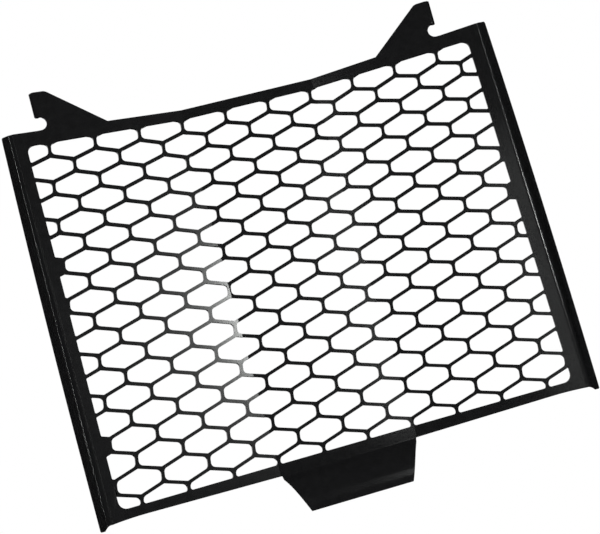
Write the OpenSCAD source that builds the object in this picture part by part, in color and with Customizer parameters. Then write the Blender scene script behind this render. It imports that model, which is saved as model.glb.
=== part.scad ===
// Radiator guard for a motorcycle: one folded aluminium sheet with a honeycomb mesh.
// The origin is the middle of the left hook's bolt slot. x runs across the width, z is up and the
// front faces -y. The modules draw from the middle of the centre panel's front face.
// Both wings lean forward, the side lips and the hook flanges are turned back, the bottom tab rolls forward.

/* [Sheet] */
// Sheet thickness
sheet_t = 1.5; // [1:0.1:2.5]
// Inner radius of every fold
fold_r = 1; // [0.6:0.2:2]
// Width of the centre panel, bend to bend
centre_w = 64.2; // [50:0.2:80]
// Height of the centre panel
panel_h = 176.7; // [140:0.1:210]
// Width of the left wing, bend to lip fold, at half height
left_w = 77.3; // [68:0.1:95]
// Width of the right wing, bend to lip fold, at half height
right_w = 80.8; // [68:0.1:95]
// Forward lean of the wings
wing_angle = 11.5; // [4:0.5:20]
// Rise of the wings' top edges
edge_rise = 1.5; // [0:0.1:3]
// Rise of the wings' bottom edges
bottom_rise = 1.0; // [0:0.1:1.4]
// Outward lean of the left lip fold
left_taper = 0.6; // [0:0.1:2]
// Outward lean of the right lip fold
right_taper = 1.0; // [0:0.1:2]

/* [Mesh] */
// Distance between neighbouring cells of a row
cell_pitch = 21; // [17:0.5:27]
// Distance between rows
row_pitch = 9.05; // [7.5:0.05:12]
// Sideways shift of each row against the half step, upward
row_shift = 1.06; // [0:0.02:2]
// Width of the webs
web = 1.5; // [0.9:0.1:2]
// Corner radius beside the upright webs
cell_r = 2; // [0.6:0.1:2.4]
// Corner radius of the mesh field
field_r = 3.6; // [1:0.2:6]
// Smallest clear width of a cell that is still cut at the rim
least_clear = 3; // [2.9:0.1:6]
// Sideways place of the mesh on the centre panel
mesh_x = -0.85; // [-5:0.05:5]
// Height of the mesh above the panel's middle
mesh_z = -1.04; // [-4:0.02:4]
// Solid rim above the mesh, on the centre panel
rim_top = 4.6; // [3:0.1:12]
// Solid rim below the mesh, on the centre panel
rim_bottom = 5.3; // [4:0.1:12]
// Solid rim between the mesh and the left lip fold
rim_left = 4.3; // [3:0.1:10]
// Solid rim between the mesh and the right lip fold
rim_right = 5.6; // [3:0.1:10]

/* [Side lips] */
// Turn of the left lip
left_lip_angle = 73; // [45:1:100]
// Turn of the right lip
right_lip_angle = 60; // [45:1:100]
// Flat depth of the lips at the top
lip_top = 8.3; // [4:0.1:14]
// Flat depth of the lips at the bottom
lip_bottom = 8.8; // [4:0.1:14]
// Swell of the lips' free edge at half height
lip_bow = 1.7; // [0:0.1:3]
// Reach of the lips above the top edge
ear_top = 2.2; // [0:0.1:5]
// Reach of the lips below the bottom edge
ear_bottom = 2.0; // [0:0.1:5]
// Drop of the wings' bottom edges at the lip folds, into the lower ears
ear_dip = 0.8; // [0:0.1:2]
// Length of that drop along the edge
ear_root = 16; // [4:0.5:20]

/* [Hooks] */
// Foot of the left hook, measured from the bend
left_hook_at = 35.2; // [28:0.1:38]
// Foot of the right hook, measured from the bend
right_hook_at = 32.9; // [28:0.1:38]
// Length of the hooks' sloping edge along the panel
hook_run = 24.9; // [18:0.1:30]
// Height of the hooks above the centre panel
hook_h = 20.3; // [15:0.1:28]
// Flat top of the hooks, up to the flange fold
hook_flat = 4.6; // [3:0.1:8]
// Radius between the sloping edge and the flat top
hook_r = 4; // [1:0.2:6]
// Width of the bolt slot under each hook
slot_d = 6.6; // [5.2:0.1:8.6]
// Drop of the slot's lower side below the wing's top edge
slot_drop = -0.1; // [-0.4:0.1:1]
// Depth of the slot's closed end inboard of the flange fold
slot_in = 2.1; // [1.5:0.1:3]
// Turn of the hook flanges
hook_fold = 100; // [60:1:105]
// Flat depth of the hook flanges
hook_lip = 4.5; // [2:0.1:9]
// Slope of the hook flanges' lower ends, rising to the back
hook_lip_rise = 35; // [0:1:45]

/* [Bottom tab] */
// Forward turn of the tab at its foot
tab_turn = 53; // [20:1:60]
// Roll of the tab over its length
tab_roll = 62.5; // [30:0.5:90]
// Radius of the rolled tab, front face
tab_r = 17.7; // [10:0.1:30]
// Gap between the tab's foot and each bend
tab_gap = 0.5; // [0.4:0.1:6]
// Inset of each tab side at the end
tab_inset = 8.1; // [0:0.1:16]

/* [Hidden] */
top_z = panel_h / 2;
bottom_z = -panel_h / 2;
bend = centre_w / 2;
outer_r = fold_r + sheet_t;
field_top = top_z - rim_top;
field_bottom = bottom_z + rim_bottom;
// Junction above a cell's centre, as shares of the row's shift and pitch
apex_share = [0.62, 0.684];
apex = [row_shift * apex_share.x, row_pitch * apex_share.y];
half_web = [row_shift, row_pitch] - apex;
// Corner radii where the field's bottom and sides cut a cell
low_r = 1;
side_r = 0.6;
// Most of a side that one rounding takes, and the shortest rounding
side_share = 0.46;
least_rounding = 0.05;
// Facets of a wing's bend, a cell's corner, an ear's corner, a hook's corner, the wings' dipped edge,
// the tab's foot bend, the tab's roll, the lips' swell and a slot
bend_steps = 2;
corner_steps = 2;
ear_steps = 2;
crown_steps = 4;
dip_steps = 4;
foot_steps = 4;
roll_steps = 10;
bow_steps = 10;
slot_facets = 48;
// Degrees that one facet of a turned edge spans at most
fold_step = 14;
// Corner radii of the lips' upper and lower ears, the level run before the lower one's corner, and how far
// inside the fold both ears begin
ear_top_r = 1.2;
ear_r = 0.9;
ear_lead = 1.5;
ear_start = 1.5;
// Depth of the blocks that trim the folded edges
block = 40;
// How far the sheet reaches into a slot before the slot is cut, and clear of it behind
slot_lap = 0.3;
slot_clear = 0.05;
// Most that a slot's middle lies beside its flange fold, as a share of the slot's radius
most_beside = 0.95;
// Least lean of a lip fold, in degrees
least_lean = 0.001;
// How far each wing reaches into its bend
seam_lap = 0.03;
// The cells that cross a bend are cut along both panels, and each cut reaches past the bend
lap_clear = 0.3;
wing_lap_share = 0.2;
centre_lap = lap_clear + sheet_t * tan(wing_angle);
wing_lap = wing_lap_share * centre_lap;
least_part = centre_lap / 2;
rows = ceil(panel_h / row_pitch / 2) + 1;
columns = ceil((bend + max(left_w, right_w)) / cell_pitch * 2) + 2;

function wing_w(side) = side < 0 ? left_w : right_w;
function taper(side) = side < 0 ? left_taper : right_taper;
function rim(side) = side < 0 ? rim_left : rim_right;
function hook_at(side) = side < 0 ? left_hook_at : right_hook_at;
function lip_angle(side) = side < 0 ? left_lip_angle : right_lip_angle;
function edge_z(x) = top_z + x * tan(edge_rise);
function polar(a, r = 1) = [r * cos(a), r * sin(a)];
function turned(p, a) = [p.x * cos(a) - p.y * sin(a), p.x * sin(a) + p.y * cos(a)];
function arc(c, r, from, to, n) = [for (i = [0:n]) c + polar(from + (to - from) * i / n, r)];
function flipped(v) = [for (i = [len(v) - 1:-1:0]) v[i]];
function sided(v, side) = [for (p = v) [side * p.x, p.y]];

// Corners carry [x, z, radius, on the field's edge]
function cut_line(poly, n, d, r, r_edge) = [
    for (i = [0:len(poly) - 1])
        let (p = poly[i], q = poly[(i + 1) % len(poly)],
             a = p.x * n.x + p.y * n.y - d, b = q.x * n.x + q.y * n.y - d)
            each concat(
                a <= 0 ? [p] : [],
                a * b < 0 ? [concat([p.x, p.y] + ([q.x, q.y] - [p.x, p.y]) * a / (a - b),
                                    [p[3] == 1 && q[3] == 1 ? r_edge : r, 1])] : [])];

// Rounds every corner of a convex outline with as much of its radius as its sides allow
function rounded(poly) = [
    for (i = [0:len(poly) - 1])
        let (m = len(poly), p = poly[i], a = poly[(i + m - 1) % m], b = poly[(i + 1) % m],
             c = [p.x, p.y], u = [a.x, a.y] - c, v = [b.x, b.y] - c,
             lu = norm(u), lv = norm(v), half = acos(min(1, max(-1, (u * v) / lu / lv))) / 2,
             reach = min(p[2] / tan(half), side_share * min(lu, lv)), r = reach * tan(half),
             mid = c + (u / lu + v / lv) / norm(u / lu + v / lv) * r / sin(half),
             s = c + u / lu * reach - mid, a0 = atan2(s.y, s.x),
             cross = u.x * v.y - u.y * v.x, turn = (cross < 0 ? 1 : -1) * (180 - 2 * half))
            each (p[2] <= 0 || reach < least_rounding ? [c] : arc(mid, r, a0, a0 + turn, corner_steps))];

function centre_of(u, v) = [mesh_x + u * cell_pitch / 2 + v * row_shift, mesh_z + v * row_pitch];

// Clear outline of a cell: the junction hexagon drawn in by half a web on every side
function inset(a, b, c) =
    let (n1 = [b.y - a.y, a.x - b.x] / norm(b - a), n2 = [c.y - b.y, b.x - c.x] / norm(c - b),
         k = n1 + n2)
        b - k * web / (k * k);
hexagon = let (e = [cell_pitch / 2, 0], j = [apex, e + half_web, e - half_web, -apex, -e - half_web, half_web - e])
    [for (i = [0:5]) concat(inset(j[(i + 1) % 6], j[i], j[(i + 5) % 6]), [i % 3 == 0 ? 0 : cell_r, 0])];
function cell(c) =
    let (at = [for (p = hexagon) [p.x + c.x, p.y + c.y, p[2], 0]],
         t = cut_line(at, [0, 1], field_top, cell_r, field_r),
         b = len(t) < 3 ? [] : cut_line(t, [0, -1], -field_bottom, low_r, field_r),
         right = [1, -tan(right_taper)], left = [-1, -tan(left_taper)],
         r = len(b) < 3 ? [] : cut_line(b, right, bend + right_w - rim_right, side_r, field_r))
        len(r) < 3 ? [] : cut_line(r, left, bend + left_w - rim_left, side_r, field_r);
function span(poly, k) = len(poly) < 3 ? 0 : max([for (p = poly) p[k]]) - min([for (p = poly) p[k]]);
function kept(poly) = span(poly, 0) > least_clear && span(poly, 1) > least_clear;
cells = [for (v = [-rows:rows], u = [-columns:columns])
    if (abs(u + v) % 2 == 0) let (c = cell(centre_of(u, v))) if (kept(c)) rounded(c)];

// Part of a cell over one panel
function clipped(poly, n, d) = [
    for (i = [0:len(poly) - 1])
        let (p = poly[i], q = poly[(i + 1) % len(poly)], a = p * n - d, b = q * n - d)
            each concat(a <= 0 ? [p] : [], a * b < 0 ? [p + (q - p) * a / (a - b)] : [])];
function centre_part(c) = clipped(clipped(c, [1, 0], bend + centre_lap), [-1, 0], bend + centre_lap);
function wing_part(c, side) = [for (p = clipped(c, [-side, 0], wing_lap - bend)) p - [side * bend, 0]];

// Stands a drawing in x and z upright, its material running back from the front face
module upright(depth = sheet_t, front = 0) {
    translate([0, front + depth, 0])
        rotate([90, 0, 0])
            linear_extrude(depth)
                children();
}

// Centre panel with both bends, drawn in plan
module centre_panel() {
    a = wing_angle;
    reach = fold_r * tan(a / 2);
    function bend_arc(r) = arc([bend - reach, -fold_r], r, 90, 90 - a, bend_steps);
    translate([0, 0, bottom_z])
        linear_extrude(panel_h)
            polygon(concat(bend_arc(fold_r), flipped(bend_arc(outer_r)),
                           sided(bend_arc(outer_r), -1), flipped(sided(bend_arc(fold_r), -1))));
}

// Places on a wing: measured from the bend, and in the frame of its lip fold (fold on x = 0)
function lean(side) = max(least_lean, taper(side));
function at_fold(p, side) = turned(p - [wing_w(side), 0], lean(side));
function fold_low(side) = dipped(0, side);
function straight_low(side) =
    (bottom_z + wing_w(side) * tan(bottom_rise)) / (cos(lean(side)) - sin(lean(side)) * tan(bottom_rise));
function dipped(x, side) = straight_low(side) + x * tan(bottom_rise + lean(side)) - ear_dip * pow(1 + x / ear_root, 2);
function fold_high(side) = edge_z(wing_w(side)) / (cos(lean(side)) - sin(lean(side)) * tan(edge_rise));
function hook_out(side) = hook_at(side) + hook_run + hook_flat;
function hook_fold_x(side) = at_fold([hook_out(side), top_z + hook_h / 2], side).x;
function hook_fold_top(side) = (top_z + hook_h + hook_fold_x(side) * sin(lean(side))) / cos(lean(side));
function slot_x(side) = hook_out(side) - slot_in + slot_d / 2;
function slot_at(side) = at_fold([slot_x(side), edge_z(slot_x(side)) + slot_d / 2 - slot_drop], side);
function slot_end(side) =
    acos(min(most_beside, max(-most_beside, (hook_fold_x(side) - slot_at(side).x) / slot_d * 2)));
function slot_low(side) = slot_at(side).y + slot_d / 2 * sin(slot_end(side)) - slot_lap;
function slot_high(side) = slot_at(side).y + slot_d / 2 + slot_clear;

// Middle of the left slot, half way through the sheet
slot_mid = let (s = slot_x(-1), a = wing_angle, t = sheet_t / 2)
    [-bend - s * cos(a) - t * sin(a), t * cos(a) - s * sin(a), edge_z(s) + slot_d / 2 - slot_drop];

// Flat wing, front face on y = 0
module wing_sheet(side) {
    start = fold_r * tan(wing_angle / 2) - seam_lap;
    foot = hook_at(side);
    slope = atan2(top_z + hook_h - edge_z(foot), hook_run);
    corner = [foot + hook_run, top_z + hook_h];
    crown = arc(corner + [hook_r * tan(slope / 2), -hook_r], hook_r, 90, 90 + slope, crown_steps);
    inner = concat(crown, [[foot, edge_z(foot)], [start, edge_z(start)], [start, bottom_z + start * tan(bottom_rise)]]);
    upright()
        polygon(sided(concat(
            [for (i = [0:dip_steps]) let (x = ear_root * (i / dip_steps - 1)) [x, dipped(x, side)]],
            [[0, fold_high(side)], at_fold([slot_x(side), edge_z(slot_x(side))], side),
             slot_at(side) + [0, slot_lap - slot_d / 2],
             [hook_fold_x(side), slot_low(side)], [hook_fold_x(side), hook_fold_top(side)]],
            [for (p = inner) at_fold(p, side)]), side));
}

// Section of a turned edge: a fold of the given angle, then a flat
function turned_edge(angle, flat) =
    let (n = ceil(angle / fold_step), end = polar(angle) * flat)
        concat(arc([0, outer_r], outer_r, -90, angle - 90, n),
               [polar(angle - 90, outer_r) + [0, outer_r] + end],
               [polar(angle - 90, fold_r) + [0, outer_r] + end],
               flipped(arc([0, outer_r], fold_r, -90, angle - 90, n)));

// Side lip with ears above and below
module side_lip(side) {
    a = lip_angle(side);
    deep = max(lip_top, lip_bottom) + lip_bow + sheet_t;
    low = fold_low(side);
    high = fold_high(side);
    end = polar(a - 90, outer_r) + [0, outer_r];
    outline = concat(
        [[-block, high], [-block, low], [-ear_start, low]],
        [for (i = [1:dip_steps]) let (k = i / dip_steps)
            [(lip_bottom - ear_r - ear_lead + ear_start) * k - ear_start, low - ear_bottom * k * k]],
        arc([lip_bottom - ear_r, low - ear_bottom + ear_r], ear_r, 270, 360, ear_steps),
        [for (i = [1:bow_steps - 1]) let (k = i / bow_steps)
            [lip_bottom + (lip_top - lip_bottom) * k + 4 * lip_bow * k * (1 - k), low + (high - low) * k]],
        arc([lip_top - ear_top_r, high + ear_top - ear_top_r], ear_top_r, 0, 90, ear_steps),
        [[-ear_start, high]]);
    intersection() {
        translate([0, 0, low - 2 * ear_bottom])
            linear_extrude(high - low + 2 * (ear_top + ear_bottom))
                polygon(sided(turned_edge(a, deep), side));
        translate([side * end.x, end.y, 0])
            rotate([0, 0, side * a])
                upright(2 * block, -block)
                    polygon(sided(outline, side));
    }
}

// Flange on the outer edge of a hook, its lower end sloping up to the back
module hook_flange(side) {
    low = slot_low(side);
    behind = slot_high(side);
    high = hook_fold_top(side);
    translate([side * hook_fold_x(side), 0, 0])
        intersection() {
            translate([0, 0, low])
                linear_extrude(high - low)
                    polygon(sided(turned_edge(hook_fold, hook_lip), side));
            translate([-block, 0, 0])
                rotate([90, 0, 90])
                    linear_extrude(2 * block)
                        polygon([[-block, low], [sheet_t, low], [sheet_t, behind],
                                 [block, behind + (block - sheet_t) * tan(hook_lip_rise)],
                                 [block, high + block], [-block, high + block]]);
        }
}

// Round end of a bolt slot, through the wing and the fold beside it
module slot(side) {
    translate([side * slot_at(side).x, -block, slot_at(side).y])
        rotate([-90, 0, 0])
            cylinder(h = 2 * block, d = slot_d, $fn = slot_facets);
}

// Rolled tab under the centre panel
module tab() {
    n = roll_steps;
    foot = bend - tab_gap;
    first = arc([-fold_r, 0], fold_r, 0, -tab_turn, foot_steps);
    first_back = arc([-fold_r, 0], outer_r, 0, -tab_turn, foot_steps);
    // The roll turns about a hub behind the sheet
    from = 180 - tab_turn;
    hub = first[foot_steps] - polar(from) * tab_r;
    front = arc(hub, tab_r, from, from + tab_roll, n);
    back = arc(hub, tab_r - sheet_t, from, from + tab_roll, n);
    // The sides run straight in the flat
    bent = fold_r * tab_turn;
    rolled = tab_r * tab_roll;
    sides = concat(
        [[foot, sheet_t], [foot, 0]],
        [for (i = [0:n]) [foot - tab_inset * (bent + rolled * i / n) / (bent + rolled), front[i].y]],
        [[foot - tab_inset, front[n].y - 2 * sheet_t]]);
    translate([0, 0, bottom_z])
        intersection() {
            translate([-foot, 0, 0])
                rotate([90, 0, 90])
                    linear_extrude(2 * foot)
                        polygon(concat(first, [for (i = [1:n]) front[i]], flipped([for (i = [1:n]) back[i]]),
                                       flipped(first_back)));
            upright(2 * block, -block)
                polygon(concat(sides, flipped(sided(sides, -1))));
        }
}

module wing(side) {
    translate([side * bend, 0, 0])
        rotate([0, 0, -side * wing_angle])
            translate([side * wing_w(side), 0, 0])
                rotate([0, side * lean(side), 0])
                    difference() {
                        union() {
                            wing_sheet(side);
                            side_lip(side);
                            hook_flange(side);
                        }
                        slot(side);
                    }
}

module wing_cells(side) {
    translate([side * bend, 0, 0])
        rotate([0, 0, -side * wing_angle])
            for (c = cells) {
                part = wing_part(c, side);
                if (len(part) > 2 && span(part, 0) > least_part)
                    upright(3 * sheet_t, -sheet_t)
                        polygon(part);
            }
}

module centre_cells() {
    for (c = cells) {
        part = centre_part(c);
        if (len(part) > 2 && span(part, 0) > least_part)
            upright(3 * sheet_t, -sheet_t)
                polygon(part);
    }
}

module guard() {
    color([0.09, 0.09, 0.1])
        translate(-slot_mid)
            difference() {
                union() {
                    centre_panel();
                    wing(-1);
                    wing(1);
                    tab();
                }
                centre_cells();
                wing_cells(-1);
                wing_cells(1);
            }
}

guard();
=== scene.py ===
import math

import bpy
from mathutils import Matrix, Vector
from mathutils.geometry import delaunay_2d_cdt


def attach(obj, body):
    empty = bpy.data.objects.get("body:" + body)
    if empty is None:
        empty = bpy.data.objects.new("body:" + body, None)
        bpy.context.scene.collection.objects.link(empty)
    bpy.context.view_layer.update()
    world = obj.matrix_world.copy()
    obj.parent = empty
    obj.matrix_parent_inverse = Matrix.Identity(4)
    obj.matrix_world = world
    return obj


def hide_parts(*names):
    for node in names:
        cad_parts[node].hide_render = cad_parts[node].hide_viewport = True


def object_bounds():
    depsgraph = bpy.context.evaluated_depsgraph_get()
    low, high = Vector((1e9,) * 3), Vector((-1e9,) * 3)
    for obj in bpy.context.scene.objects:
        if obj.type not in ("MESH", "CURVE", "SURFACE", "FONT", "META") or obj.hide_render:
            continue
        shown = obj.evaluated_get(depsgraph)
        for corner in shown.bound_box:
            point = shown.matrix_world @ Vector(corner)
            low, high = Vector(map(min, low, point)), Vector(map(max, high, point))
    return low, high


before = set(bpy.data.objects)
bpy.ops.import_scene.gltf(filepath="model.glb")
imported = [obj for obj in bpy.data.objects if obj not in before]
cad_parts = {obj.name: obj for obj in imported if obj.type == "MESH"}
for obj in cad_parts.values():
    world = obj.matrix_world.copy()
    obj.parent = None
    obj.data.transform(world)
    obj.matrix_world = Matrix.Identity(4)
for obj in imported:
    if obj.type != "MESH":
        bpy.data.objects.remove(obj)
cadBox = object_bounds()
print("frame loaded:", sorted(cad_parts))


# Sizes are in millimetres and degrees, as on a workshop drawing. The flat blank lies in x and y with its
# front face down; folding turns its y up, its thickness to the back, and brings it to metres.

sheet = {
    "thickness": 1.5,
    "foldRadius": 1.0,      # inside every fold
    "centreWidth": 64.2,    # bend to bend
    "height": 176.7,        # centre panel
    "wingAngle": 11.5,      # both wings lean forward
    "topRise": 1.5,         # the wings' top edges rise outwards
    "bottomRise": 1.0,      # and so do their bottom edges
    "edgeRound": 0.2,       # rounding that the coat leaves on the outline
    "cellRound": 0.05,      # and on the punched cells
    "roundSteps": 2,
}

wings = {
    "left": {"side": -1, "width": 77.3, "lean": 0.6, "rim": 4.3, "lipAngle": 73.0, "hookAt": 35.2},
    "right": {"side": 1, "width": 80.8, "lean": 1.0, "rim": 5.6, "lipAngle": 60.0, "hookAt": 32.9},
}

cells = {
    "pitch": 21.0,
    "rowPitch": 9.05,
    "rowShift": 1.06,       # each row stands this much aside of the half step
    "web": 1.5,
    "cornerRadius": 2.0,    # beside the upright webs
    "fieldRadius": 3.6,     # corners of the whole field
    "topRadius": 2.0,       # where the field's top cuts a cell
    "bottomRadius": 1.0,
    "sideRadius": 0.6,
    "leastClear": 3.0,      # smaller leftovers at the rim stay solid
    "middleX": -0.85,
    "middleY": -1.04,
    "rimTop": 4.6,
    "rimBottom": 5.3,
    "apexAcross": 0.62,     # a cell's top corner, as a share of the row's shift
    "apexUp": 0.684,        # and of the row pitch
    "arcPoints": 5,
}

lips = {
    "topDepth": 8.3,
    "bottomDepth": 8.8,
    "bow": 1.7,             # the free edge swells at half height
    "topEar": 2.2,
    "bottomEar": 2.0,
    "topEarRadius": 1.2,
    "earRadius": 0.9,
    "earLead": 1.5,         # level run before the lower ear's corner
    "earStart": 1.6,        # both ears begin this far inside the fold
    "earDip": 0.8,          # the bottom edge drops into the lower ear
    "earRoot": 16.0,
}

hooks = {
    "run": 24.9,
    "height": 20.3,
    "flat": 4.6,
    "radius": 4.0,
    "slot": 6.6,
    "slotInset": 2.1,
    "slotDrop": -0.1,
    "foldAngle": 100.0,
    "flange": 4.5,
    "flangeRise": 35.0,     # its lower end slopes up to the back
}

tab = {
    "turn": 53.0,           # forwards at the foot
    "roll": 62.5,
    "radius": 17.7,
    "gap": 0.5,
    "inset": 8.1,
}

# How many pieces each curve is cut into
steps = {
    "bend": 4,
    "lipFold": 9,
    "hookFold": 9,
    "tabFoot": 5,
    "tabRoll": 18,
    "ear": 8,
    "earCorner": 6,
    "bow": 24,
    "flange": 12,
    "crown": 8,
    "root": 12,
    "slot": 20,
}

bend = sheet["centreWidth"] / 2
topY = sheet["height"] / 2
bottomY = -topY
outerRadius = sheet["foldRadius"] + sheet["thickness"]
bendReach = sheet["foldRadius"] * math.tan(math.radians(sheet["wingAngle"]) / 2)
topSlope = math.tan(math.radians(sheet["topRise"]))
bottomSlope = math.tan(math.radians(sheet["bottomRise"]))
tabFoot = bend - tab["gap"]
tabArc = sheet["foldRadius"] * math.radians(tab["turn"])
tabEnd = tabArc + tab["radius"] * math.radians(tab["roll"])
hookArc = outerRadius * math.radians(hooks["foldAngle"])
shadeLine = 0.3             # a cut beside each fold keeps the light even on the flats
pastEdge = 1.0              # fold lines run this far past the outline
mostBeside = 0.95           # how far beside a slot's middle the hook's fold may run, in slot radii
toMetres = 0.001


# Places on a wing. A point is (distance from the bend, height); in the frame of the lip fold, that fold
# lies on x = 0 and the outside is positive.

def leanOf(wing):
    return math.radians(wing["lean"])


def toFold(wing, x, y):
    lean = leanOf(wing)
    x -= wing["width"]
    return x * math.cos(lean) - y * math.sin(lean), x * math.sin(lean) + y * math.cos(lean)


def fromFold(wing, x, y):
    lean = leanOf(wing)
    return (x * math.cos(lean) + y * math.sin(lean) + wing["width"],
            y * math.cos(lean) - x * math.sin(lean))


def topEdge(x):
    return topY + x * topSlope


def foldTop(wing):
    lean = leanOf(wing)
    return topEdge(wing["width"]) / (math.cos(lean) - math.sin(lean) * topSlope)


def bottomEdge(wing, x):
    lean = leanOf(wing)
    straight = (bottomY + wing["width"] * bottomSlope) / (math.cos(lean) - math.sin(lean) * bottomSlope)
    dip = max(0.0, 1 + x / lips["earRoot"])
    return straight + x * math.tan(math.atan(bottomSlope) + lean) - lips["earDip"] * dip ** 2


def hookEdge(wing):
    return wing["hookAt"] + hooks["run"] + hooks["flat"]


def hookFold(wing):
    return toFold(wing, hookEdge(wing), topY + hooks["height"] / 2)[0]


def hookTop(wing):
    lean = leanOf(wing)
    return (topY + hooks["height"] + hookFold(wing) * math.sin(lean)) / math.cos(lean)


def slotPlace(wing):
    x = hookEdge(wing) - hooks["slotInset"] + hooks["slot"] / 2
    return x, topEdge(x) + hooks["slot"] / 2 - hooks["slotDrop"]


def slotEnd(wing):
    x, y = toFold(wing, *slotPlace(wing))
    radius = hooks["slot"] / 2
    angle = math.acos(max(-mostBeside, min(mostBeside, (hookFold(wing) - x) / radius)))
    return angle, y + radius * math.sin(angle)


def arc(x, y, radius, start, end, count):
    turns = [start + (end - start) * i / count for i in range(count + 1)]
    return [(x + radius * math.cos(t), y + radius * math.sin(t)) for t in turns]


# The flat blank

def lipEdge(wing):
    low, high = bottomEdge(wing, 0), foldTop(wing)
    start = outerRadius * math.radians(wing["lipAngle"])
    root = start - lips["earStart"]
    deep, top, corner = start + lips["bottomDepth"], start + lips["topDepth"], lips["earRadius"]
    points = [(0, low)]
    for i in range(steps["ear"] + 1):
        k = i / steps["ear"]
        points.append((root + (deep - root - corner - lips["earLead"]) * k, low - lips["bottomEar"] * k ** 2))
    lowest = low - lips["bottomEar"] + corner
    points += arc(deep - corner, lowest, corner, -math.pi / 2, 0, steps["earCorner"])
    for i in range(1, steps["bow"]):
        k = i / steps["bow"]
        points.append((deep + (top - deep) * k + 4 * lips["bow"] * k * (1 - k), low + (high - low) * k))
    corner = lips["topEarRadius"]
    highest = high + lips["topEar"] - corner
    points += arc(top - corner, highest, corner, 0, math.pi / 2, steps["earCorner"])
    return points + [(root, high), (0, high)]


def flangeEdge(wing):
    fold, low, high = hookFold(wing), slotEnd(wing)[1], hookTop(wing)
    rise = math.tan(math.radians(hooks["flangeRise"]))
    full = hookArc + hooks["flange"]
    points = []
    for i in range(steps["flange"] + 1):
        along = full * i / steps["flange"]
        turn = min(along, hookArc) / outerRadius
        back = outerRadius * (1 - math.cos(turn)) + max(0.0, along - hookArc) * math.sin(turn)
        points.append((fold + along, low + max(0.0, back - sheet["thickness"]) * rise))
    return points + [(fold + full, high), (fold, high)]


def hookEdgePoints(wing):
    foot = wing["hookAt"]
    slope = math.atan2(topY + hooks["height"] - topEdge(foot), hooks["run"])
    cornerX = foot + hooks["run"] + hooks["radius"] * math.tan(slope / 2)
    cornerY = topY + hooks["height"] - hooks["radius"]
    crown = arc(cornerX, cornerY, hooks["radius"], math.pi / 2, math.pi / 2 + slope, steps["crown"])
    return [toFold(wing, *p) for p in crown + [(foot, topEdge(foot)), (0, topY)]]


def wingEdge(wing):
    angle = slotEnd(wing)[0]
    slotX, slotY = slotPlace(wing)
    rootSteps = [lips["earRoot"] * (i / steps["root"] - 1) for i in range(steps["root"])]
    root = [(0, bottomY)] + [fromFold(wing, x, bottomEdge(wing, x)) for x in rootSteps]
    points = [toFold(wing, *p) for p in root] + lipEdge(wing)
    points.append(toFold(wing, slotX + hooks["slot"] / 4, topEdge(slotX + hooks["slot"] / 4)))
    points += arc(*toFold(wing, slotX, slotY), hooks["slot"] / 2, math.pi * 1.5, angle, steps["slot"])
    points += flangeEdge(wing) + hookEdgePoints(wing)
    flat = [fromFold(wing, *p) for p in points]
    return [(wing["side"] * (bend + x), y) for x, y in flat]


def tabEdge():
    right = [(tabFoot, bottomY), (tabFoot - tab["inset"], bottomY - tabEnd)]
    return [(-x, y) for x, y in right] + right[::-1]


def blankOutline():
    return tabEdge() + wingEdge(wings["right"]) + wingEdge(wings["left"])[::-1]


def foldSteps(length, count):
    return [-shadeLine] + [length * i / count for i in range(count + 1)] + [length + shadeLine]


def foldLines():
    lines = []
    for wing in wings.values():
        for i in foldSteps(2 * bendReach, steps["bend"]):
            x = wing["side"] * (bend - bendReach + i)
            lines.append(((x, bottomY - pastEdge), (x, topY + 2 * pastEdge)))
        lipArc = outerRadius * math.radians(wing["lipAngle"])
        places = [(i, bottomEdge(wing, 0) - pastEdge, foldTop(wing) + pastEdge)
                  for i in foldSteps(lipArc, steps["lipFold"])]
        places += [(hookFold(wing) + hookArc * i / steps["hookFold"], slotEnd(wing)[1], hookTop(wing))
                   for i in range(steps["hookFold"] + 1)]
        for x, low, high in places:
            ends = [fromFold(wing, x, y) for y in (low, high)]
            lines.append(tuple((wing["side"] * (bend + px), py) for px, py in ends))
    foot, roll = steps["tabFoot"], steps["tabRoll"]
    drops = [-shadeLine] + [tabArc * i / foot for i in range(foot)]
    drops += [tabArc + (tabEnd - tabArc) * i / roll for i in range(roll)]
    for drop in drops:
        lines.append(((-tabFoot, bottomY - drop), (tabFoot, bottomY - drop)))
    return lines


# Node trees are written as sums: a Term is a value in a tree

class Term:
    def __init__(self, tree, socket):
        self.tree = tree
        self.socket = socket

    def __add__(self, other):
        return mathNode(self.tree, "ADD", self, other)

    def __radd__(self, other):
        return mathNode(self.tree, "ADD", other, self)

    def __sub__(self, other):
        return mathNode(self.tree, "SUBTRACT", self, other)

    def __rsub__(self, other):
        return mathNode(self.tree, "SUBTRACT", other, self)

    def __mul__(self, other):
        return mathNode(self.tree, "MULTIPLY", self, other)

    def __rmul__(self, other):
        return mathNode(self.tree, "MULTIPLY", other, self)

    def __truediv__(self, other):
        return mathNode(self.tree, "DIVIDE", self, other)

    def __neg__(self):
        return mathNode(self.tree, "MULTIPLY", self, -1.0)

    def __gt__(self, other):
        return mathNode(self.tree, "GREATER_THAN", self, other)

    def __lt__(self, other):
        return mathNode(self.tree, "LESS_THAN", self, other)

    def call(self, operation, *others):
        return mathNode(self.tree, operation, self, *others)


def plug(tree, value, socket):
    if isinstance(value, Term):
        tree.links.new(value.socket, socket)
    else:
        socket.default_value = value


def mathNode(tree, operation, *values):
    node = tree.nodes.new("ShaderNodeMath")
    node.operation = operation
    for value, socket in zip(values, node.inputs):
        plug(tree, value, socket)
    return Term(tree, node.outputs[0])


def blendOf(flag, yes, no):
    return flag * yes + (1.0 - flag) * no


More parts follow.
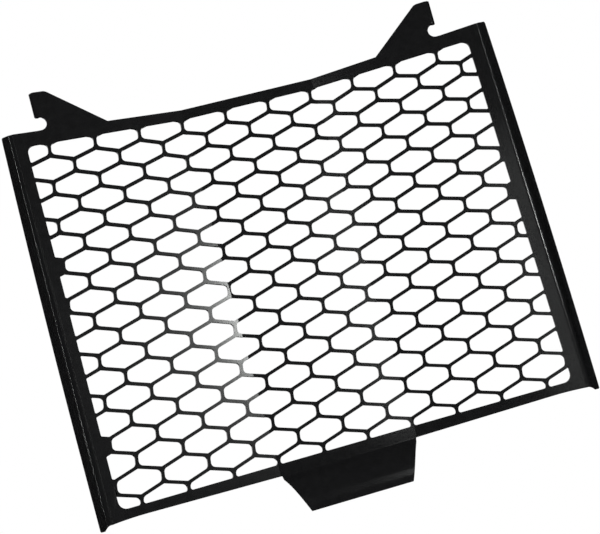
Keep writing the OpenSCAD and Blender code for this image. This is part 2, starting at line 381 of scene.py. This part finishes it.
def startTree(name, inputs):
    tree = bpy.data.node_groups.new(name, "GeometryNodeTree")
    tree.interface.new_socket("Geometry", in_out="OUTPUT", socket_type="NodeSocketGeometry")
    tree.interface.new_socket("Geometry", in_out="INPUT", socket_type="NodeSocketGeometry")
    for key in inputs:
        tree.interface.new_socket(key, in_out="INPUT", socket_type="NodeSocketFloat")
    tree.interface.new_socket("Material", in_out="INPUT", socket_type="NodeSocketMaterial")
    group = tree.nodes.new("NodeGroupInput")
    return tree, {s.name: Term(tree, s) for s in group.outputs if s.name}


def chain(tree, kind, geometry, settings=None, **values):
    node = tree.nodes.new(kind)
    for key, value in (settings or {}).items():
        setattr(node, key, value)
    tree.links.new(geometry, node.inputs[0])
    for key, value in values.items():
        plug(tree, value, node.inputs[key])
    return node.outputs[0]


def finishTree(tree, terms, geometry):
    real = chain(tree, "GeometryNodeRealizeInstances", geometry)
    painted = chain(tree, "GeometryNodeSetMaterial", real, Material=terms["Material"])
    tree.links.new(painted, tree.nodes.new("NodeGroupOutput").inputs[0])


def runTree(piece, tree, values, material):
    modifier = piece.modifiers.new(tree.name, "NODES")
    modifier.node_group = tree
    for item in tree.interface.items_tree:
        if item.in_out == "INPUT" and item.name in values:
            modifier[item.identifier] = float(values[item.name])
        if item.in_out == "INPUT" and item.name == "Material":
            modifier[item.identifier] = material
    return modifier


def plainMesh(piece):
    graph = bpy.context.evaluated_depsgraph_get()
    return bpy.data.meshes.new_from_object(piece.evaluated_get(graph), depsgraph=graph)


def place(name, mesh):
    piece = bpy.data.objects.new(name, mesh)
    bpy.context.scene.collection.objects.link(piece)
    return piece


# The honeycomb: every cell is what ten straight lines leave, six of its own and four of the field

lineCount = 10.0
farOff = 500.0              # millimetres, beyond any cell
slack = 0.01
nearlyNone = 0.0001


def cellLines(terms, centreX, centreY):
    pitch, rowPitch, rowShift, web = (terms[k] for k in ("Pitch", "Row Pitch", "Row Shift", "Web"))
    apexX, apexY = rowShift * cells["apexAcross"], rowPitch * cells["apexUp"]
    halfX, halfY = rowShift - apexX, rowPitch - apexY
    upperX, upperY = pitch * 0.5 + halfX, halfY
    lowerX, lowerY = pitch * 0.5 - halfX, -halfY

    def through(x1, y1, x2, y2):
        dx, dy = x2 - x1, y2 - y1
        long = (dx * dx + dy * dy).call("SQRT")
        nx, ny = -dy / long, dx / long
        return nx, ny, nx * x1 + ny * y1 - web * 0.5

    def across(line):
        return -line[0], -line[1], line[2]

    def fieldLine(nx, ny, distance):
        return nx, ny, distance - nx * centreX - ny * centreY

    upper = through(apexX, apexY, upperX, upperY)
    upright = through(upperX, upperY, lowerX, lowerY)
    lower = through(lowerX, lowerY, -apexX, -apexY)
    rightLean, leftLean = terms["Right Lean"], terms["Left Lean"]
    rightCos, leftCos = rightLean.call("COSINE"), leftLean.call("COSINE")
    zero = web * 0.0
    right = fieldLine(rightCos, -rightLean.call("SINE"), terms["Field Right"] * rightCos)
    left = fieldLine(-leftCos, -leftLean.call("SINE"), terms["Field Left"] * leftCos)
    top = fieldLine(zero, zero + 1.0, terms["Field Top"])
    bottom = fieldLine(zero, zero - 1.0, terms["Field Bottom"])
    return [("upright", upright), ("side", right), ("slanted", upper), ("top", top),
            ("slanted", across(lower)), ("upright", across(upright)), ("side", left),
            ("slanted", across(upper)), ("bottom", bottom), ("slanted", lower)]


def pick(tree, index, values):
    node = tree.nodes.new("GeometryNodeIndexSwitch")
    node.data_type = "FLOAT"
    while len(node.index_switch_items) < len(values):
        node.index_switch_items.new()
    plug(tree, index, node.inputs[0])
    for value, socket in zip(values, node.inputs[1:]):
        plug(tree, value, socket)
    return Term(tree, node.outputs[0])


def named(tree, name, kind="FLOAT"):
    node = tree.nodes.new("GeometryNodeInputNamedAttribute")
    node.data_type = kind
    node.inputs["Name"].default_value = name
    return Term(tree, node.outputs["Attribute"])


def extent(tree, value, group):
    node = tree.nodes.new("GeometryNodeFieldMinAndMax")
    plug(tree, value, node.inputs["Value"])
    plug(tree, group, node.inputs["Group ID"])
    return Term(tree, node.outputs["Max"]) - Term(tree, node.outputs["Min"])


def positionOf(tree):
    split = tree.nodes.new("ShaderNodeSeparateXYZ")
    tree.links.new(tree.nodes.new("GeometryNodeInputPosition").outputs[0], split.inputs[0])
    return [Term(tree, s) for s in split.outputs]


def vectorOf(tree, *values):
    node = tree.nodes.new("ShaderNodeCombineXYZ")
    for value, socket in zip(values, node.inputs):
        plug(tree, value, socket)
    return Term(tree, node.outputs[0])


def honeycombTree(inputs):
    tree, terms = startTree("honeycomb cells", inputs)
    index = Term(tree, tree.nodes.new("GeometryNodeInputIndex").outputs[0])
    cell = (index / lineCount + slack).call("FLOOR")
    line = index - cell * lineCount
    columns, rows = terms["Columns"], terms["Rows"]
    row = (cell / columns + nearlyNone).call("FLOOR")
    column = cell - row * columns
    v = row - (rows - 1.0) * 0.5
    odd = v.call("ABSOLUTE").call("MODULO", 2.0)
    u = (column - (columns - 1.0) * 0.5) * 2.0 + odd
    centreX = terms["Middle X"] + u * terms["Pitch"] * 0.5 + v * terms["Row Shift"]
    centreY = terms["Middle Y"] + v * terms["Row Pitch"]
    lines = cellLines(terms, centreX, centreY)
    rounds = {"top": terms["Top Radius"], "bottom": terms["Bottom Radius"], "side": terms["Side Radius"]}
    ownX, ownY, ownD = (pick(tree, line, [entry[1][i] for entry in lines]) for i in range(3))
    slanted = pick(tree, line, [float(kind == "slanted") for kind, _ in lines])
    upright = pick(tree, line, [float(kind == "upright") for kind, _ in lines])
    ownRound = pick(tree, line, [rounds.get(kind, 0.0) for kind, _ in lines])
    onField = 1.0 - slanted - upright
    low, high, radius = index * 0.0 - farOff, index * 0.0 + farOff, index * 0.0
    for kind, (nx, ny, distance) in lines:
        across = ny * ownX - nx * ownY
        where = (distance - ownD * (nx * ownX + ny * ownY)) / across
        before, after = across < -nearlyNone, across > nearlyNone
        if kind == "slanted":
            corner = upright * terms["Corner Radius"] + ownRound
        elif kind == "upright":
            corner = slanted * terms["Corner Radius"] + ownRound
        else:
            corner = blendOf(onField, terms["Field Radius"], rounds[kind])
        lowest = blendOf(before, where, -farOff)
        radius = blendOf(lowest > low, corner, radius)
        low = low.call("MAXIMUM", lowest)
        high = high.call("MINIMUM", blendOf(after, where, farOff))
    points = tree.nodes.new("GeometryNodePoints")
    plug(tree, columns * rows * lineCount, points.inputs["Count"])
    geometry = points.outputs[0]
    stored = {"cell": ("INT", cell), "corner": ("FLOAT", radius), "idle": ("FLOAT", (high - low) < slack)}
    for name, (kind, value) in stored.items():
        geometry = chain(tree, "GeometryNodeStoreNamedAttribute", geometry, {"data_type": kind},
                         Name=name, Value=value)
    corner = vectorOf(tree, centreX + ownX * ownD - ownY * low, centreY + ownY * ownD + ownX * low, 0.0)
    geometry = chain(tree, "GeometryNodeSetPosition", geometry, Position=corner)
    geometry = chain(tree, "GeometryNodeDeleteGeometry", geometry, Selection=named(tree, "idle"))
    x, y, _ = positionOf(tree)
    group = named(tree, "cell", "INT")
    wide, tall = extent(tree, x, group), extent(tree, y, group)
    geometry = chain(tree, "GeometryNodeDeleteGeometry", geometry,
                     Selection=wide.call("MINIMUM", tall) < terms["Least Clear"])
    order = Term(tree, tree.nodes.new("GeometryNodeInputIndex").outputs[0])
    geometry = chain(tree, "GeometryNodePointsToCurves", geometry,
                     **{"Curve Group ID": named(tree, "cell", "INT"), "Weight": order})
    geometry = chain(tree, "GeometryNodeSetSplineCyclic", geometry, Cyclic=True)
    geometry = chain(tree, "GeometryNodeFilletCurve", geometry, {"mode": "POLY"},
                     **{"Count": terms["Arc Points"], "Radius": named(tree, "corner"), "Limit Radius": True})
    geometry = chain(tree, "GeometryNodeCurveToMesh", geometry)
    geometry = chain(tree, "GeometryNodeMergeByDistance", geometry, Distance=0.003)
    finishTree(tree, terms, geometry)
    return tree


def loopsOf(mesh):
    near = {}
    for edge in mesh.edges:
        a, b = edge.vertices
        near.setdefault(a, []).append(b)
        near.setdefault(b, []).append(a)
    loops, seen = [], set()
    for start in near:
        if start in seen:
            continue
        loop, current = [], start
        while current is not None:
            seen.add(current)
            loop.append(tuple(mesh.vertices[current].co[:2]))
            current = next((n for n in near[current] if n not in seen), None)
        loops.append(loop)
    return loops


def cellOutlines():
    left, right = wings["left"], wings["right"]
    reach = bend + max(left["width"], right["width"])
    values = {
        "Pitch": cells["pitch"], "Row Pitch": cells["rowPitch"], "Row Shift": cells["rowShift"],
        "Web": cells["web"], "Corner Radius": cells["cornerRadius"], "Field Radius": cells["fieldRadius"],
        "Top Radius": cells["topRadius"], "Bottom Radius": cells["bottomRadius"],
        "Side Radius": cells["sideRadius"], "Least Clear": cells["leastClear"],
        "Middle X": cells["middleX"], "Middle Y": cells["middleY"],
        "Field Top": topY - cells["rimTop"], "Field Bottom": -(bottomY + cells["rimBottom"]),
        "Field Left": bend + left["width"] - left["rim"],
        "Field Right": bend + right["width"] - right["rim"],
        "Left Lean": leanOf(left), "Right Lean": leanOf(right),
        "Columns": 2 * (math.ceil(reach / cells["pitch"]) + 1) + 1,
        "Rows": 2 * (math.ceil(topY / cells["rowPitch"]) + 1) + 1,
        "Arc Points": cells["arcPoints"],
    }
    maker = place("cellMaker", bpy.data.meshes.new("cellMaker"))
    runTree(maker, honeycombTree(values), values, None)
    loops = loopsOf(plainMesh(maker))
    bpy.data.objects.remove(maker)
    return loops


def counterclockwise(loop):
    area = sum(x1 * y2 - x2 * y1 for (x1, y1), (x2, y2) in zip(loop, loop[1:] + loop[:1]))
    return loop if area > 0 else loop[::-1]


def blankMesh():
    outline = counterclockwise(blankOutline())
    holes = [counterclockwise(loop) for loop in cellOutlines()]
    points, faces, edges = [], [], []
    for loop in [outline] + holes:
        faces.append(list(range(len(points), len(points) + len(loop))))
        points += loop
    for start, end in foldLines():
        edges.append((len(points), len(points) + 1))
        points += [start, end]
    result = delaunay_2d_cdt([Vector(p) for p in points], edges, faces, 0, 1e-5, True)
    kept = [face for face, owners in zip(result[2], result[5]) if list(owners) == [0]]
    mesh = bpy.data.meshes.new("blank")
    mesh.from_pydata([(p.x, p.y, 0.0) for p in result[0]], [], kept)
    mesh.update()
    print("blank cut:", len(holes), "cells,", len(kept), "faces")
    return mesh


# Folding: two arcs in a row, worked out for any point of the blank

def folded(terms, x, y, depth):
    radius, thick = terms["Fold Radius"], terms["Thickness"]
    outer = radius + thick
    side = x.call("SIGN")
    onRight = side > 0.0
    span = x * side - terms["Bend"]
    width = blendOf(onRight, terms["Right Width"], terms["Left Width"])
    lean = blendOf(onRight, terms["Right Lean"], terms["Left Lean"])
    cosine, sine = lean.call("COSINE"), lean.call("SINE")
    outX = (span - width) * cosine - y * sine
    outY = (span - width) * sine + y * cosine
    slotLow = blendOf(onRight, terms["Right Slot End"], terms["Left Slot End"])
    hookX = blendOf(onRight, terms["Right Hook Fold"], terms["Left Hook Fold"])
    onHook = (outY > slotLow - slack) * (outX < terms["Hook Limit"])
    foldX = onHook * hookX
    lipAngle = blendOf(onRight, terms["Right Lip Angle"], terms["Left Lip Angle"])
    angle = blendOf(onHook, terms["Hook Angle"], lipAngle)
    past = outX - foldX
    turn = (past / outer).call("MAXIMUM", 0.0).call("MINIMUM", angle)
    flat = (past - outer * angle).call("MAXIMUM", 0.0)
    inner = outer - depth
    turnSin, turnCos = turn.call("SINE"), turn.call("COSINE")
    lipX = foldX + past.call("MINIMUM", 0.0) + inner * turnSin + flat * turnCos
    lipBack = outer - inner * turnCos + flat * turnSin
    wingX = width + lipX * cosine + outY * sine
    wingY = outY * cosine - lipX * sine
    wingAngle, reach = terms["Wing Angle"], terms["Bend Reach"]
    swing = ((wingX + reach) / (reach * 2.0)).call("MAXIMUM", 0.0).call("MINIMUM", 1.0) * wingAngle
    swingSin, swingCos = swing.call("SINE"), swing.call("COSINE")
    arm = (wingX - reach).call("MAXIMUM", 0.0) + (wingX + reach).call("MINIMUM", 0.0)
    across = (radius + lipBack) * swingSin + arm * swingCos - reach
    back = (radius + lipBack) * swingCos - arm * swingSin - radius
    onTab = (span < -reach) * (y < terms["Bottom"])
    drop = (terms["Bottom"] - y).call("MAXIMUM", 0.0)
    tabTurn, tabRadius = terms["Tab Turn"], terms["Tab Radius"]
    footTurn = (drop / radius).call("MINIMUM", tabTurn)
    rolled = (drop - radius * tabTurn).call("MAXIMUM", 0.0)
    heading = footTurn - rolled / tabRadius
    footSin, footCos = footTurn.call("SINE"), footTurn.call("COSINE")
    onRoll = rolled > 0.0
    shell = tabRadius - depth
    rollBack = (radius + tabRadius) * footCos - radius - shell * heading.call("COSINE")
    rollDown = shell * heading.call("SINE") - (radius + tabRadius) * footSin
    tabBack = blendOf(onRoll, rollBack, (radius + depth) * footCos - radius)
    tabDown = blendOf(onRoll, rollDown, -(radius + depth) * footSin)
    placeX = (terms["Bend"] + across) * side
    placeY = blendOf(onTab, tabBack, back)
    placeZ = blendOf(onTab, terms["Bottom"] + tabDown, wingY)
    return placeX, placeY, placeZ


def foldingTree(inputs):
    tree, terms = startTree("folded sheet", inputs)
    source = terms["Geometry"].socket
    thick = chain(tree, "GeometryNodeExtrudeMesh", source, {"mode": "FACES"}, Individual=False,
                  **{"Offset": Vector((0, 0, 1)), "Offset Scale": terms["Thickness"]})
    under = chain(tree, "GeometryNodeFlipFaces", source)
    join = tree.nodes.new("GeometryNodeJoinGeometry")
    tree.links.new(thick, join.inputs[0])
    tree.links.new(under, join.inputs[0])
    solid = chain(tree, "GeometryNodeMergeByDistance", join.outputs[0], Distance=0.0005)
    x, y, depth = positionOf(tree)
    away = (x.call("ABSOLUTE") > terms["Field Reach"]) + (y.call("ABSOLUTE") > terms["Field Rise"])
    angle = Term(tree, tree.nodes.new("GeometryNodeInputMeshEdgeAngle").outputs["Unsigned Angle"])
    weight = (angle > terms["Sharp Angle"]) * blendOf(away.call("MINIMUM", 1.0), 1.0, terms["Cell Share"])
    solid = chain(tree, "GeometryNodeStoreNamedAttribute", solid, {"data_type": "FLOAT", "domain": "EDGE"},
                  Name="bevel_weight_edge", Value=weight)
    x, y, depth = folded(terms, x, y, depth)
    moved = vectorOf(tree, (x - terms["Origin X"]) * toMetres, (y - terms["Origin Y"]) * toMetres,
                     (depth - terms["Origin Z"]) * toMetres)
    solid = chain(tree, "GeometryNodeSetPosition", solid, Position=moved)
    solid = chain(tree, "GeometryNodeFlipFaces", solid)
    solid = chain(tree, "GeometryNodeSetShadeSmooth", solid, **{"Shade Smooth": True})
    finishTree(tree, terms, solid)
    return tree


def rowOrigin():
    x, y = slotPlace(wings["left"])
    swing, half = math.radians(sheet["wingAngle"]), sheet["thickness"] / 2
    return (-bend - x * math.cos(swing) - half * math.sin(swing),
            half * math.cos(swing) - x * math.sin(swing), y)


def buildGuard(material):
    left, right = wings["left"], wings["right"]
    originX, originY, originZ = rowOrigin()
    values = {
        "Thickness": sheet["thickness"], "Fold Radius": sheet["foldRadius"], "Bend": bend,
        "Bend Reach": bendReach, "Wing Angle": math.radians(sheet["wingAngle"]),
        "Left Width": left["width"], "Right Width": right["width"],
        "Left Lean": leanOf(left), "Right Lean": leanOf(right),
        "Left Lip Angle": math.radians(left["lipAngle"]),
        "Right Lip Angle": math.radians(right["lipAngle"]),
        "Left Slot End": slotEnd(left)[1], "Right Slot End": slotEnd(right)[1],
        "Left Hook Fold": hookFold(left), "Right Hook Fold": hookFold(right),
        "Hook Angle": math.radians(hooks["foldAngle"]), "Hook Limit": -0.5, "Bottom": bottomY,
        "Tab Turn": math.radians(tab["turn"]), "Tab Radius": tab["radius"],
        "Origin X": originX, "Origin Y": originY, "Origin Z": originZ,
        "Field Reach": bend + right["width"] - right["rim"] / 2, "Field Rise": topY - cells["rimTop"] / 2,
        "Cell Share": sheet["cellRound"] / sheet["edgeRound"], "Sharp Angle": 0.8,
    }
    maker = place("guardMaker", blankMesh())
    runTree(maker, foldingTree(values), values, material)
    rounding = maker.modifiers.new("coat rounding", "BEVEL")
    rounding.width = sheet["edgeRound"] * toMetres
    rounding.segments = sheet["roundSteps"]
    rounding.limit_method = "WEIGHT"
    rounding.use_clamp_overlap = False
    rounding.harden_normals = True
    mesh = plainMesh(maker)
    bpy.data.objects.remove(maker)
    guard = place("radiatorGuard", mesh)
    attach(guard, "root")
    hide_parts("guard")
    print("guard folded:", len(mesh.polygons), "faces")
    return guard


# Finish

coat = {
    "colour": (0.0072, 0.0073, 0.0077, 1),
    "fleckColour": (0.0098, 0.0099, 0.0104, 1),
    "fleckSpan": (0.35, 0.7),
    "fleckSize": 0.003,      # metres, as all sizes of the coat
    "roughness": (0.124, 0.146),
    "patchSize": 0.012,
    "peelSize": 0.0011,
    "peelHeight": 0.000004,
}


def addNode(tree, kind, settings=None, **values):
    node = tree.nodes.new(kind)
    for key, value in (settings or {}).items():
        setattr(node, key, value)
    for key, value in values.items():
        node.inputs[key].default_value = value
    return node


def noise(tree, coordinates, size, detail):
    node = addNode(tree, "ShaderNodeTexNoise", Scale=1 / size, Detail=detail)
    tree.links.new(coordinates, node.inputs["Vector"])
    return node.outputs["Fac"]


def powderCoat():
    material = bpy.data.materials.new("black powder coat")
    material.use_nodes = True
    tree = material.node_tree
    shader = tree.nodes["Principled BSDF"]
    where = tree.nodes.new("ShaderNodeTexCoord").outputs["Object"]
    mottle = addNode(tree, "ShaderNodeValToRGB")
    for stop, place, colour in zip(mottle.color_ramp.elements, coat["fleckSpan"],
                                   (coat["colour"], coat["fleckColour"])):
        stop.position, stop.color = place, colour
    tree.links.new(noise(tree, where, coat["fleckSize"], 4.0), mottle.inputs[0])
    tree.links.new(mottle.outputs[0], shader.inputs["Base Color"])
    spread = addNode(tree, "ShaderNodeMapRange")
    spread.inputs["To Min"].default_value, spread.inputs["To Max"].default_value = coat["roughness"]
    tree.links.new(noise(tree, where, coat["patchSize"], 3.0), spread.inputs["Value"])
    tree.links.new(spread.outputs[0], shader.inputs["Roughness"])
    bump = addNode(tree, "ShaderNodeBump", Strength=1.0, Distance=coat["peelHeight"])
    tree.links.new(noise(tree, where, coat["peelSize"], 2.0), bump.inputs["Height"])
    tree.links.new(bump.outputs[0], shader.inputs["Normal"])
    return material


# Studio

lamps = {
    # place: azimuth and elevation in degrees, as seen from the guard; then height in metres and watts
    "leftBendGleam": {"place": (28.3, 7.2), "height": 0.75, "power": 33},
    "centreGleam": {"place": (11.2, 6.0), "height": 1.7, "power": 1.45},
    "rightRimGleam": {"place": (-1.8, 5.0), "height": 1.7, "power": 1.2},
    "rightBendGleam": {"place": (-13, 14.5), "height": 1.2, "power": 1.5},
    "rightFoldGleam": {"place": (45, 12), "height": 1.6, "power": 16},
    "leftFoldGleam": {"place": (-107, 10), "height": 2.4, "power": 16},
}

lampStand = {
    "distance": 6.0,
    "width": 0.06,
    "colour": (0.975, 1.0, 0.98),
}

room = {
    "softLevel": 0.06,       # light from all around
    "frontLevel": 1.5,      # added from the front
    "topLevel": 1.2,         # and from above
    "backLevel": 1.0,        # and from behind, for the side that the camera doesn't see
    "mirrorLevel": 0.002,    # what the coat mirrors of the room
    "backdrop": (0.75, 0.85),
    "horizon": (-0.1, -0.02),
    "beam": 4.0,             # higher gathers the light from front and back more
    "topBeam": 2.0,
    "floorDrop": 0.22,
    "floorSize": 0.75,
    "floorColour": (0.85, 0.85, 0.85, 1),
    "floorRoughness": 0.8,
}

view = {
    "place": (0.03336, -0.46715, -0.17024),
    "ahead": (0.12825, 0.97677, 0.1717),
    "up": (0.25135, -0.19949, 0.94712),
    "lens": 63.37,
    "shift": (0.015, -0.0203),
    "reach": (0.01, 20),
}


def direction(azimuth, elevation):
    a, e = math.radians(azimuth), math.radians(elevation)
    return Vector((math.sin(a) * math.cos(e), -math.cos(a) * math.cos(e), math.sin(e)))


def addLamp(name, spec, middle):
    light = bpy.data.lights.new(name, "AREA")
    light.shape = "RECTANGLE"
    light.size, light.size_y = lampStand["width"], spec["height"]
    light.energy = spec["power"]
    light.color = lampStand["colour"]
    lamp = bpy.data.objects.new(name, light)
    bpy.context.scene.collection.objects.link(lamp)
    out = direction(*spec["place"])
    lamp.location = middle + out * lampStand["distance"]
    lamp.visible_camera = False
    lamp.rotation_euler = out.to_track_quat("Z", "Y").to_euler()


def smoothStep(tree, value, span):
    node = addNode(tree, "ShaderNodeMapRange", {"interpolation_type": "SMOOTHSTEP"})
    node.inputs["From Min"].default_value, node.inputs["From Max"].default_value = span
    plug(tree, value, node.inputs["Value"])
    return Term(tree, node.outputs[0])


def buildWorld():
    world = bpy.data.worlds.new("studio")
    bpy.context.scene.world = world
    world.use_nodes = True
    tree = world.node_tree
    split = tree.nodes.new("ShaderNodeSeparateXYZ")
    tree.links.new(tree.nodes.new("ShaderNodeTexCoord").outputs["Generated"], split.inputs[0])
    _, ahead, above = [Term(tree, socket) for socket in split.outputs]
    rays = {socket.name: Term(tree, socket) for socket in tree.nodes.new("ShaderNodeLightPath").outputs}
    mirrored = rays["Is Glossy Ray"].call("MAXIMUM", rays["Is Transmission Ray"])
    backdrop = smoothStep(tree, ahead, room["backdrop"]) * smoothStep(tree, above, room["horizon"])
    seen = blendOf(backdrop, 1.0, room["mirrorLevel"])
    front = (-ahead).call("MAXIMUM", 0.0).call("POWER", room["beam"])
    back = ahead.call("MAXIMUM", 0.0).call("POWER", room["beam"])
    top = above.call("MAXIMUM", 0.0).call("POWER", room["topBeam"])
    shed = front * room["frontLevel"] + back * room["backLevel"] + top * room["topLevel"] + room["softLevel"]
    level = blendOf(rays["Is Camera Ray"], 1.0, blendOf(mirrored, seen, shed))
    background = tree.nodes["Background"]
    background.inputs["Color"].default_value = (1, 1, 1, 1)
    plug(tree, level, background.inputs["Strength"])


def buildFloor(low):
    half, z = room["floorSize"], low.z - room["floorDrop"]
    mesh = bpy.data.meshes.new("floor")
    corners = [(-half, -half, z), (half, -half, z), (half, half, z), (-half, half, z)]
    mesh.from_pydata(corners, [], [(0, 1, 2, 3)])
    floor = place("floor", mesh)
    floor.visible_glossy = False     # the undersides stay dark, as in the photograph
    material = bpy.data.materials.new("pale floor")
    material.use_nodes = True
    shader = material.node_tree.nodes["Principled BSDF"]
    shader.inputs["Base Color"].default_value = room["floorColour"]
    shader.inputs["Roughness"].default_value = room["floorRoughness"]
    mesh.materials.append(material)


def buildCamera():
    data = bpy.data.cameras.new("camera")
    data.lens = view["lens"]
    data.shift_x, data.shift_y = view["shift"]
    data.clip_start, data.clip_end = view["reach"]
    camera = bpy.data.objects.new("camera", data)
    bpy.context.scene.collection.objects.link(camera)
    ahead = Vector(view["ahead"]).normalized()
    right = ahead.cross(Vector(view["up"])).normalized()
    up = right.cross(ahead)
    turn = Matrix((right, up, -ahead)).transposed().to_4x4()
    camera.matrix_world = Matrix.Translation(view["place"]) @ turn
    bpy.context.scene.camera = camera


guard = buildGuard(powderCoat())
middle = (cadBox[0] + cadBox[1]) / 2
for lampName, lampSpec in lamps.items():
    addLamp(lampName, lampSpec, middle)
buildWorld()
buildFloor(cadBox[0])
buildCamera()
bpy.context.scene.view_settings.view_transform = "Standard"
print("studio ready")
